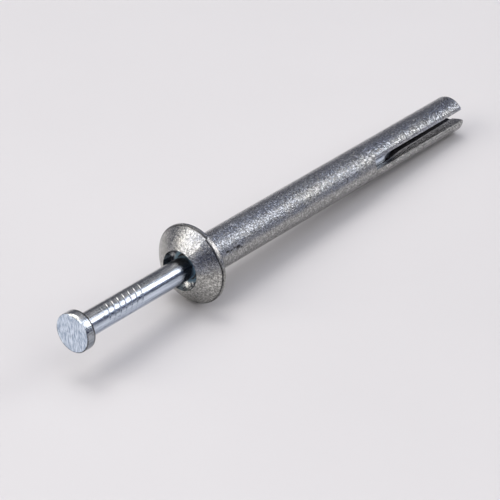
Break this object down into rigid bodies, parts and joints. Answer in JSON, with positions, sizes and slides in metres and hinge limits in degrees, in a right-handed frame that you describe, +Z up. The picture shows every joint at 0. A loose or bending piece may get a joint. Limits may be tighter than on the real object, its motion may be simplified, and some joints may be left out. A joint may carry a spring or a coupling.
{
  "type": "hammer drive anchor",
  "caption": "Mushroom-head hammer drive anchor for masonry: a die-cast body with a split end, and a flat-head nail that slides in to spread it.",
  "frame": {"origin": "middle of the anchor's bounding box, on the flat surface that it lies on", "axes": "+X along the anchor from the nail's head to the split end (the axis drops by about 3 degrees that way), +Z up, and -Y the side on which the slot's edge is raised by 15 degrees"},
  "size_m": [0.0894, 0.0124, 0.0125],
  "materials": {
    "zinc_casting": "zinc alloy as die cast: matte grey with a fine grain",
    "plated_steel": "carbon steel with a thin bluish zinc plating, semi-bright"
  },
  "bodies": {
    "anchor_body": {"anchor_body": "zinc_casting"},
    "drive_nail": {"drive_nail": "plated_steel"}
  },
  "joints": [
    {"name": "nail_drive", "type": "slide", "parent": "anchor_body", "child": "drive_nail", "axis": [0.9987, 0, -0.051], "range_m": [0, 0.0226], "deforming": ["anchor_body"]}
  ]
}
